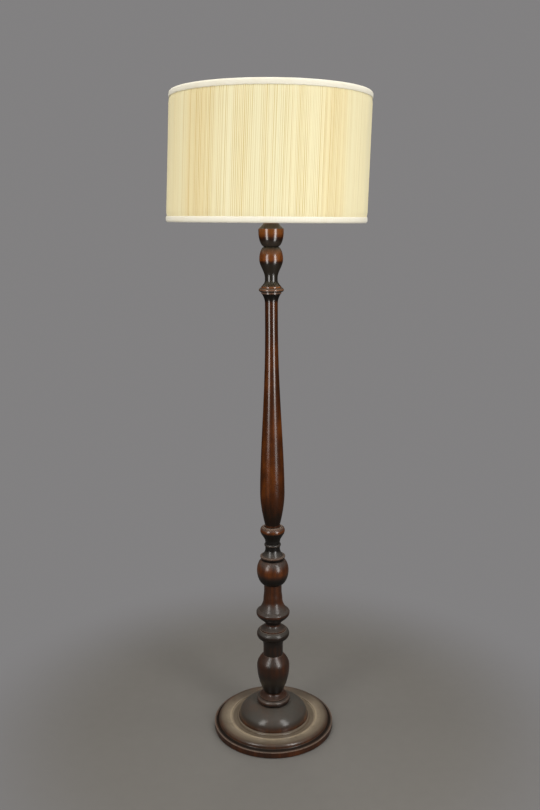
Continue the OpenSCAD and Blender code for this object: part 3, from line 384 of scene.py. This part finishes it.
dice = np.random.default_rng(11)
turns = np.linspace(0, 2 * math.pi, 360, endpoint=False)
ragged = 0.0004 * np.sin(7 * turns + 1) + 0.0003 * np.sin(23 * turns) \
    + dice.normal(0, 0.00012, len(turns))
felt_rows = []
for reach, height in ((0.0, 0.0), (0.5, 0.0), (0.97, 0.0), (0.995, 0.0004), (1.0, 0.0011),
                      (0.996, 0.0018), (0.97, felt_t), (0.72, felt_t)):
    edge = reach * (felt_r - felt_trim) + (ragged if reach > ragged_from else 0)
    felt_rows.append(np.stack([edge * np.cos(turns), edge * np.sin(turns),
                               np.full(len(turns), height)], 1))
felt = grid_piece("felt_disc", felt_rows, closed=True)
wool = Finish("green_felt", Roughness=0.95, Sheen_Weight=0.5, Sheen_Roughness=0.6)
fuzz = wool.noise(wool.place(), 900, 4, 0.7)
tuft = wool.noise(wool.place(), 140, 3, 0.6)
felt.data.materials.append(wool.feed(
    Base_Color=wool.blend(fuzz * 0.5 + tuft * 0.5, (0.020, 0.026, 0.018), (0.065, 0.075, 0.052)),
    Normal=wool.bump(fuzz, 0.0006)))
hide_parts("felt_pad")
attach(felt, "stand")

# ---------------------------------------------------------------------------------------
# Ballast: a cast iron disc let into the underside, painted black, held by three plated
# screws.

iron = Finish("painted_iron", Roughness=0.6, Specular_IOR_Level=0.4)
sand = iron.noise(iron.place(), 420, 5, 0.65)
rust = iron.noise(iron.place(), 40, 4, 0.6).between(0.60, 0.72)
finish_node("ballast", iron.feed(
    Base_Color=iron.blend(rust * 0.7, (0.022, 0.022, 0.024), (0.110, 0.040, 0.016)),
    Roughness=sand * 0.3 + 0.45, Normal=iron.bump(sand, 0.0004)))


def plated_steel(name, colour=(0.50, 0.50, 0.49), along=(1, 1, 0.1)):
    steel = Finish(name, Metallic=1.0)
    brushed = steel.noise(steel.place(along), 700, 3, 0.6)
    spots = steel.noise(steel.place(), 60, 4, 0.6).between(0.58, 0.75)
    dull = tuple(0.45 * c for c in colour)
    return steel.feed(Base_Color=steel.blend(spots * 0.5 + brushed * 0.2, colour, dull),
                      Roughness=brushed * 0.18 + spots * 0.2 + 0.22,
                      Normal=steel.bump(brushed, 0.00005, 0.5))


finish_node("ballast_screws", plated_steel("screw_steel", (0.50, 0.46, 0.36)))

# ---------------------------------------------------------------------------------------
# Turned column: ten pieces on one tube, each with a spigot in the socket of the next. Each is
# turned from its own blank, so grain and stain differ; lips and beads are rubbed paler.

low = {name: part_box(name)[0].z for name in (
    "base_collar", "urn", "ring_piece", "bell", "ball", "ball_cap", "lower_cup", "shaft",
    "vase", "top_cup")}

# tints for dust together with the painted sheen that light from above gives
grey_dust_and_sheen, olive_dust_and_sheen = (0.060, 0.053, 0.046), (0.052, 0.043, 0.026)
finish_node("base_collar", stained_wood(
    "collar_wood", 2, warmth=0.42, dust_and_sheen_amount=0.75, shine=0.24, dust_and_sheen_tint=grey_dust_and_sheen,
    seams=[low["base_collar"]],
    worn=[(0.0440, low["urn"] - 0.0035, 0.0022, 0.45)]))
finish_node("urn", stained_wood(
    "urn_wood", 3, warmth=0.49, dust_and_sheen_amount=0.30, shine=0.29, dust_and_sheen_tint=grey_dust_and_sheen, seams=[low["urn"]],
    worn=[(0.0385, low["urn"] + 0.003, 0.0014, 0.4),
          (0.0279, low["urn"] + 0.1295, 0.0014, 0.4)]))
finish_node("ring_piece", stained_wood(
    "ring_wood", 4, warmth=0.34, dust_and_sheen_amount=0.85, shine=0.27, dust_and_sheen_tint=grey_dust_and_sheen, seams=[low["ring_piece"]],
    worn=[(0.0367, low["bell"], 0.0018, 0.50)]))
finish_node("bell", stained_wood(
    "bell_wood", 5, warmth=0.52, dust_and_sheen_amount=0.80, shine=0.27, dust_and_sheen_tint=grey_dust_and_sheen, seams=[low["bell"]],
    worn=[(0.0344, low["bell"] + 0.003, 0.0014, 0.4),
          (0.0392, low["bell"] + 0.0530, 0.0020, 0.45)]))
finish_node("ball", stained_wood(
    "ball_wood", 6, warmth=0.64, dust_and_sheen_amount=0.72, shine=0.24, dust_and_sheen_tint=grey_dust_and_sheen, seams=[low["ball"]]))
finish_node("ball_cap", stained_wood(
    "ball_cap_wood", 7, warmth=0.50, dust_and_sheen_amount=0.75, shine=0.25, dust_and_sheen_tint=grey_dust_and_sheen, warm_from_r=(0.022, 0.028),
    seams=[low["ball_cap"]],
    worn=[(0.0320, low["ball_cap"] + 0.0114, 0.0050, 0.45),
          (0.0226, low["ball_cap"] + 0.0430, 0.0022, 0.3)]))
finish_node("lower_cup", stained_wood(
    "lower_cup_wood", 8, warmth=0.66, dust_and_sheen_amount=0.60, shine=0.22, dust_and_sheen_tint=grey_dust_and_sheen, warm_from_r=(0.022, 0.028),
    seams=[low["lower_cup"]],
    # grime and painted shade in the groove under the disc
    grime_and_shade_rings=[(0.0258, 0.0279)],
    worn=[(0.0256, low["shaft"] - 0.001, 0.0046, 1.50),
          (0.0284, low["shaft"] - 0.0024, 0.0016, 0.6)]))
finish_node("shaft", stained_wood(
    "shaft_wood", 9, warmth=0.57, dust_and_sheen_amount=0.55, dust_and_sheen_tint=olive_dust_and_sheen, shine=0.13, thin=(0.84, 1.10),
    seams=[low["shaft"]],
    worn=[(0.0256, low["vase"] - 0.002, 0.0028, 0.6)]))
finish_node("vase", stained_wood(
    "vase_wood", 10, warmth=0.84, dust_and_sheen_amount=0.85, shine=0.16, dust_and_sheen_tint=(0.034, 0.029, 0.017),
    # under: the colour of the painted shade where the surface looks down
    under=(0.022, 0.017, 0.012), warm_from_r=(0.018, 0.025),
    seams=[low["vase"]],
    worn=[(0.0255, low["vase"] + 0.0140, 0.0018, 0.25),
          (0.0306, low["vase"] + 0.0068, 0.0068, 0.40)]))
finish_node("top_cup", stained_wood(
    "top_cup_wood", 11, warmth=0.98, dust_and_sheen_amount=0.95, shine=0.12, dust_and_sheen_tint=olive_dust_and_sheen,
    # under: the colour of the painted shade where the surface looks down
    under=(0.036, 0.027, 0.020), seams=[low["top_cup"]],
    worn=[(0.0317, low["top_cup"] + 0.0435, 0.0016, 0.3)]))

# ---------------------------------------------------------------------------------------
# The threaded steel tube that clamps the column, its washer and nut in the pocket under the
# base, and the moulded bush that lines the lead's outlet at the back.

finish_node("column_tube", plated_steel("tube_steel", along=(1, 1, 4)))
finish_node("tube_washer", plated_steel("washer_steel"))
finish_node("tube_nut", plated_steel("nut_steel", (0.50, 0.46, 0.36)))


def dark_resin(name, colour=(0.012, 0.010, 0.009), gloss=0.34):
    resin = Finish(name, Specular_IOR_Level=0.5)
    grain = resin.noise(resin.place(), 700, 4, 0.6)
    bloom = resin.noise(resin.place(), 90, 3, 0.6)
    lighter = tuple(2.4 * c for c in colour)
    return resin.feed(Base_Color=resin.blend(bloom, colour, lighter),
                      Roughness=grain * 0.12 + bloom * 0.14 + gloss,
                      Normal=resin.bump(grain, 0.00006, 0.5))


finish_node("cord_bush", dark_resin("bush_resin"))

# ---------------------------------------------------------------------------------------
# Brass fittings: check ring, harp saddle and nut, and the lampholder with its card liner,
# moulded switch body, contacts and turn knob.


def brass(name, shine=0.20, tarnish=0.5):
    metal = Finish(name, Metallic=1.0)
    cloud = metal.noise(metal.place(), 70, 4, 0.6)
    fine = metal.noise(metal.place((1, 1, 6)), 500, 3, 0.6)
    brown = cloud.between(0.45, 0.75) * tarnish
    return metal.feed(
        Base_Color=metal.blend(brown + fine * 0.12, (0.62, 0.42, 0.15), (0.20, 0.11, 0.04)),
        Roughness=fine * 0.14 + brown * 0.3 + shine, Normal=metal.bump(fine, 0.00004, 0.5))


for name, shine, tarnish in (
        ("brass_cap", 0.18, 0.5), ("harp_saddle", 0.26, 0.6), ("saddle_nut", 0.26, 0.6),
        ("holder_cap", 0.18, 0.45), ("holder_shell", 0.16, 0.4), ("terminal_screws", 0.3, 0.5),
        ("screw_shell", 0.3, 0.3), ("centre_contact", 0.3, 0.3)):
    finish_node(name, brass(name + "_brass", shine, tarnish))

card = Finish("pressed_card", Roughness=0.85)
pulp = card.noise(card.place((1, 1, 0.4)), 300, 4, 0.7)
finish_node("holder_insulator", card.feed(
    Base_Color=card.blend(pulp, (0.30, 0.21, 0.11), (0.52, 0.42, 0.27)),
    Normal=card.bump(pulp, 0.0002)))
finish_node("switch_body", dark_resin("switch_resin", gloss=0.28))
finish_node("switch_knob", dark_resin("knob_resin", (0.020, 0.010, 0.006), 0.22))

# ---------------------------------------------------------------------------------------
# Frosted bulb: blown envelope with its stem and filament, cemented into a rolled screw cap.

frost = Finish("frosted_glass", Roughness=0.35, Transmission_Weight=0.35, IOR=1.45)
mist = frost.noise(frost.place(), 40, 3, 0.5)
finish_node("bulb_glass", frost.feed(
    Base_Color=frost.blend(mist, (0.80, 0.80, 0.77), (0.93, 0.93, 0.91)),
    Roughness=mist * 0.15 + 0.25))
clear = Finish("clear_glass", Roughness=0.04, Transmission_Weight=0.9, IOR=1.5)
swirl = clear.noise(clear.place(), 120, 3, 0.5)
finish_node("bulb_stem", clear.feed(
    Base_Color=clear.blend(swirl, (0.86, 0.90, 0.90), (0.95, 0.96, 0.96)),
    Normal=clear.bump(swirl, 0.0001, 0.4)))
finish_node("bulb_filament", plated_steel("lead_wire_steel", (0.40, 0.38, 0.36)))
finish_node("bulb_cap", plated_steel("rolled_cap_metal", (0.70, 0.68, 0.62), (1, 1, 2)))
finish_node("bulb_tip", plated_steel("tip_solder", (0.55, 0.55, 0.54)))
finish_node("bulb_insulator", dark_resin("cap_vitrite", (0.010, 0.010, 0.014), 0.12))

# ---------------------------------------------------------------------------------------
# Harp: stiff brass wire round the bulb, held in the saddle by two sliding sleeves, with a
# threaded stud on top for the shade, and the turned finial that clamps it.

for name, shine in (("harp", 0.24), ("harp_sleeve_left", 0.20), ("harp_sleeve_right", 0.20),
                    ("harp_stud", 0.28), ("finial", 0.15)):
    finish_node(name, brass(name + "_brass", shine, 0.45))

# ---------------------------------------------------------------------------------------
# Shade frame: steel wire soldered up and painted cream. A spider with three arms stands on the
# harp's stud and carries the top ring; eight ribs join it to the bottom ring.

paint = Finish("cream_paint", Roughness=0.4)
runs = paint.noise(paint.place((1, 1, 0.3)), 160, 4, 0.6)
chips = paint.noise(paint.place(), 420, 4, 0.6).between(0.66, 0.72)
cream_paint = paint.feed(
    Base_Color=paint.blend(chips * 0.8, paint.blend(runs, (0.66, 0.61, 0.47),
                                                    (0.78, 0.74, 0.60)), (0.16, 0.13, 0.11)),
    Roughness=runs * 0.2 + 0.3, Normal=paint.bump(runs - chips, 0.0001, 0.5))
for name in ("shade_spider", "shade_top_ring", "shade_bottom_ring", "shade_ribs"):
    finish_node(name, cream_paint)

# ---------------------------------------------------------------------------------------
# Lining: smooth off-white cotton stretched over the inside of the rings and stitched there,
# drawn in a little between the eight ribs.

# The shade hangs a little out of true: it leans to the right, and has gone out of square.
seat_z = 1.66483
lean, skew = math.radians(0.65), math.radians(1.7)
shade_h = 0.296
top_z, bottom_z = 0.034, 0.034 - shade_h
top_r, bottom_r = 0.2404, 0.2444


def on_shade(angle, height, out):
    """Points of the shade: angle round it, height over its seat, distance out of its rings."""
    angle, height, out = np.broadcast_arrays(angle, height, out)
    ring = bottom_r + (top_r - bottom_r) * (height - bottom_z) / (top_z - bottom_z) + out
    x = ring * np.cos(angle) + height * math.tan(skew)
    y = ring * np.sin(angle)
    return np.stack([x * math.cos(lean) + height * math.sin(lean), y,
                     height * math.cos(lean) - x * math.sin(lean) + seat_z], -1)


def wander(dice, count, waves, size):
    """A smooth closed line of numbers round the shade."""
    angle = np.linspace(0, 2 * math.pi, count, endpoint=False)
    line = np.zeros(count)
    for wave in waves:
        line += dice.normal(0, 1) * np.cos(wave * angle + dice.uniform(0, 6.28))
    return size * line / math.sqrt(len(waves))


dice = np.random.default_rng(21)
around = np.linspace(0, 2 * math.pi, 480, endpoint=False)
inside_ring, drawn_in, ribs = -0.00215, 0.0007, 8
lining_rows = []
for height in np.linspace(bottom_z, top_z, 24):
    part = (height - bottom_z) / (top_z - bottom_z)
    slack = drawn_in * math.sin(math.pi * part) * (0.5 + 0.5 * np.cos(ribs * around))
    ripple = wander(dice, len(around), (31, 47, 63), 0.00004)
    lining_rows.append(on_shade(around, height, inside_ring - slack + ripple))
lining = grid_piece("lining_cloth", lining_rows, closed=True)
liner = Finish("lining_cotton", Roughness=0.8, Sheen_Weight=0.15)
thread = liner.noise(liner.place((1, 1, 1.5)), 1500, 2, 0.5)
foxing = liner.noise(liner.place(), 9, 4, 0.6).between(0.45, 0.8)
lining.data.materials.append(liner.feed(
    Base_Color=liner.blend(foxing * 0.5 + thread * 0.15, (0.84, 0.80, 0.68), (0.70, 0.60, 0.42)),
    Normal=liner.bump(thread, 0.0001)))
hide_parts("shade_lining")
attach(lining, "shade")

# ---------------------------------------------------------------------------------------
# Cover: cream silk drawn up by hand into some three hundred and seventy narrow gathers, sewn
# to both rings. They run straight down, vary in width and depth, and crowd together in
# places, where the silk looks deeper in colour; at the sides of the shade they are nearly flat.
# Each crease is painted darker as its shade, and both sides of the shade are painted deeper in
# colour as painted shade.

dice = np.random.default_rng(31)
gathers, steps = 372, 9
over_ring, under_tape_dip, tape_w, tape_fade = 0.0036, 0.0013, 0.011, 0.010
parts = np.concatenate([[0, 0.02, 0.04, 0.06, 0.08], np.linspace(0.11, 0.89, 18),
                        [0.92, 0.94, 0.96, 0.98, 1]])
middle = ((np.arange(gathers) + 0.5) / gathers * 360 + 180) % 360 - 180


def crowded_at(place, reach):
    """How close each gather is to a place round the shade, in degrees from its front."""
    return np.exp(-(((middle - place + 180) % 360 - 180) / reach) ** 2)


# each place is given by how crowded it is, its angle and its reach; below 0 it is slack
crowd = sum(size * crowded_at(place, reach) for size, place, reach in (
    (0.90, -40, 12), (0.75, 38, 11), (0.6, 145, 22), (0.5, -140, 16),
    (-0.7, -80, 18), (-0.7, 76, 18))) + wander(dice, gathers, (9, 14, 23, 31), 0.22)
widths = np.exp(dice.normal(0, 0.20, gathers) - 0.12 * crowd)
edges = np.concatenate([[0], np.cumsum(widths)]) / widths.sum() * 2 * math.pi
usual_depth, crowd_depth, depth_spread = 0.00046, 0.00016, 0.00012
depths = np.clip(usual_depth + crowd_depth * crowd + dice.normal(0, depth_spread, gathers),
                 0.00005, 0.0010)
# how strongly each crease is painted with shade: more where gathers crowd, almost none at the
# sides
smooth = crowded_at(-84, 22) + crowded_at(78, 22)
pinch = np.clip(0.72 + 0.25 * crowd + dice.normal(0, 0.32, gathers), 0.15, 1.3) * (
    1 - 0.85 * np.clip(smooth, 0, 1))
swings = dice.normal(0, 0.25, gathers)
changes = dice.normal(0, 1, (3, gathers))

# points across every gather: which gather each is in, and how far in from its crease
which = np.arange(gathers * steps) // steps
across = (np.arange(gathers * steps) % steps) / steps
flat_angle = edges[which] + (edges[which + 1] - edges[which]) * across
tucked = np.sin(math.pi * across ** np.exp(swings[which]))
ridge = tucked ** 0.7

cover_rows, crease_shade_rows = [], []
sway = [wander(dice, gathers, (3, 7, 13), 0.00006) for _ in range(2)]
for part in parts:
    from_edge = min(part, 1 - part) * shade_h
    under_tape = 1 - min(1.0, max(0.0, (from_edge - tape_w) / tape_fade))
    height = bottom_z + (top_z - bottom_z) * part
    depth = depths * (1 + 0.22 * (changes[0] * math.cos(math.pi * part)
                                  + changes[1] * math.sin(math.pi * part)
                                  + 0.6 * changes[2] * math.cos(2 * math.pi * part)))
    depth = np.clip(depth, 0.00004, 0.0011)[which]
    drift = sway[0] * math.sin(math.pi * part) + sway[1] * math.sin(2 * math.pi * part)
    angle = flat_angle + drift[which] / bottom_r
    out = (over_ring - under_tape_dip * under_tape
           + depth * ridge * (1 - 0.5 * under_tape))
    cover_rows.append(on_shade(angle - math.pi / 2, height, out))

    # the painted shade in the creases comes and goes a little down the shade
    faded = 1 + 0.12 * (changes[1] * math.sin(3 * part + 1) + changes[2] * math.cos(5 * part))
    crease_shade_rows.append(1 - (1 - tucked) * np.clip(pinch * faded, 0.05, 1.4)[which])
cover = grid_piece("gathered_cover", cover_rows, closed=True)
# the first attribute holds the painted shade of each crease; crowd holds how crowded the gathers
# are, with painted shade added on both sides of the shade
for label, values in (("fold", np.array(crease_shade_rows)),
                      ("crowd", np.tile(np.clip(0.3 + 0.6 * crowd + 0.9 * crowded_at(-84, 24)
                                                + 0.7 * crowded_at(80, 22), 0, 1)[which],
                                        len(parts)))):
    cover.data.attributes.new(label, "FLOAT", "POINT").data.foreach_set(
        "value", values.astype(np.float32).ravel())
silk = Finish("cream_silk", Roughness=0.55, Sheen_Weight=0.2, Sheen_Roughness=0.4,
              Specular_IOR_Level=0.35)
crest = silk.node("Attribute", {"attribute_name": "fold"}, out="Fac")
deeper_and_side_shade = silk.node("Attribute", {"attribute_name": "crowd"}, out="Fac")
aged = silk.noise(silk.place((1, 1, 0.35)), 14, 4, 0.6)
slub = silk.noise(silk.place((0.25, 0.25, 1)), 2600, 2, 0.6)
# deeper colour where the gathers crowd, and painted shade deepening both sides of the shade
cloth = silk.blend(deeper_and_side_shade, (0.845, 0.792, 0.541), (0.841, 0.720, 0.404))
# painted shade in the creases, darker still where the gathers crowd and on both sides
cloth = silk.blend(1 - crest.between(-0.1, 0.95), cloth,
                   silk.blend(deeper_and_side_shade, (0.650, 0.535, 0.215), (0.625, 0.415, 0.120)))
cloth = silk.blend(aged.between(0.5, 0.8) * 0.08, cloth, (0.66, 0.50, 0.26))
cloth = silk.blend(slub.between(0.5, 0.7) * 0.08, cloth, (0.95, 0.90, 0.74))
cover.data.materials.append(silk.feed(
    Base_Color=cloth, Roughness=slub * 0.2 + 0.42, Normal=silk.bump(slub, 0.00006, 0.5)))
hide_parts("shade_cover")
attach(cover, "shade")

# ---------------------------------------------------------------------------------------
# Trimming: ivory bias tape folded over each ring and stitched down on both sides, riding over
# the gathers beneath it.

tape = Finish("ivory_tape", Roughness=0.6, Sheen_Weight=0.2, Specular_IOR_Level=0.3)
ribbing = tape.noise(tape.place((1, 1, 3)), 1300, 2, 0.5)
soil = tape.noise(tape.place((1, 1, 2)), 26, 4, 0.6)
ivory_tape = tape.feed(
    Base_Color=tape.blend(soil.between(0.45, 0.8) * 0.4 + ribbing * 0.08,
                          (0.83, 0.79, 0.66), (0.76, 0.68, 0.475)),
    Normal=tape.bump(ribbing, 0.0001, 0.6))
round_ring = np.linspace(0, 2 * math.pi, 1240, endpoint=False)


def tape_over(name, node, edge_z, direction, seed):
    """Tape from its outer edge, over the ring, to its inner edge. direction is 1 at the top."""
    dice = np.random.default_rng(seed)
    under = wander(dice, len(round_ring), (150, 190, 231, 270), 1.0)
    stitch = wander(dice, len(round_ring), (60, 75, 96), 1.0)
    outer, inner, cap, tape_t, loose_rows = 0.0043, -0.0033, 0.0028, 0.0006, 6
    path = [(outer - 0.0010, -0.0108), (outer - 0.0004, -0.0096), (outer, -0.0074),
            (outer, -0.0050), (outer, -0.0022), (outer - 0.0003, -0.0002),
            (outer - 0.0012, 0.0014), (outer - 0.0026, cap), (0.0010, cap + 0.0001),
            (inner + 0.0020, cap), (inner + 0.0006, 0.0014), (inner, 0.0),
            (inner, -0.0025), (inner, -0.0052)]
    rows = []
    for k, (out, drop) in enumerate(path):
        loose = max(0.0, 1 - k / loose_rows)
        push = 0.00012 * under * (0.35 + 0.65 * loose) + 0.00006 * stitch
        sway = 0.00030 * stitch * loose
        rows.append(on_shade(round_ring, edge_z + direction * (drop + sway), out + push))
    piece = grid_piece(name, rows, closed=True)
    shell = piece.modifiers.new("thickness", "SOLIDIFY")
    shell.thickness, shell.offset = tape_t, 0
    piece.data.materials.append(ivory_tape)
    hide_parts(node)
    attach(piece, "shade")


tape_over("top_tape", "shade_top_trim", top_z, 1, 41)
tape_over("bottom_tape", "shade_bottom_trim", bottom_z, -1, 42)

# ---------------------------------------------------------------------------------------
# The studio floor's matt paper, last, because it isn't part of the lamp. It fades into the
# backdrop away from the lamp, and throws back less light than the camera sees of it.

fade_from, fade_to = 0.45, 1.0
paper = Finish("studio_paper", Roughness=0.85)
tooth = paper.noise(paper.place(), 30, 3, 0.5)
ray = paper.node("LightPath", out=0)
paper.feed(Base_Color=paper.blend(ray, (0.060, 0.056, 0.052), paper.blend(
    tooth, (0.148, 0.140, 0.128), (0.160, 0.152, 0.139))))
away = paper.node("VectorMath", {"operation": "LENGTH"}, {0: paper.place()}, out=1)
far = paper.node("Emission", None, {"Color": (*backdrop, 1)})
whole = paper.node("MixShader", None, {
    0: away.between(fade_from, fade_to) * ray,
    1: Wire(paper, paper.shader.outputs[0]), 2: far})
paper.tree.links.new(whole.socket, paper.tree.nodes["Material Output"].inputs[0])
studio_floor.data.materials.append(paper.material)
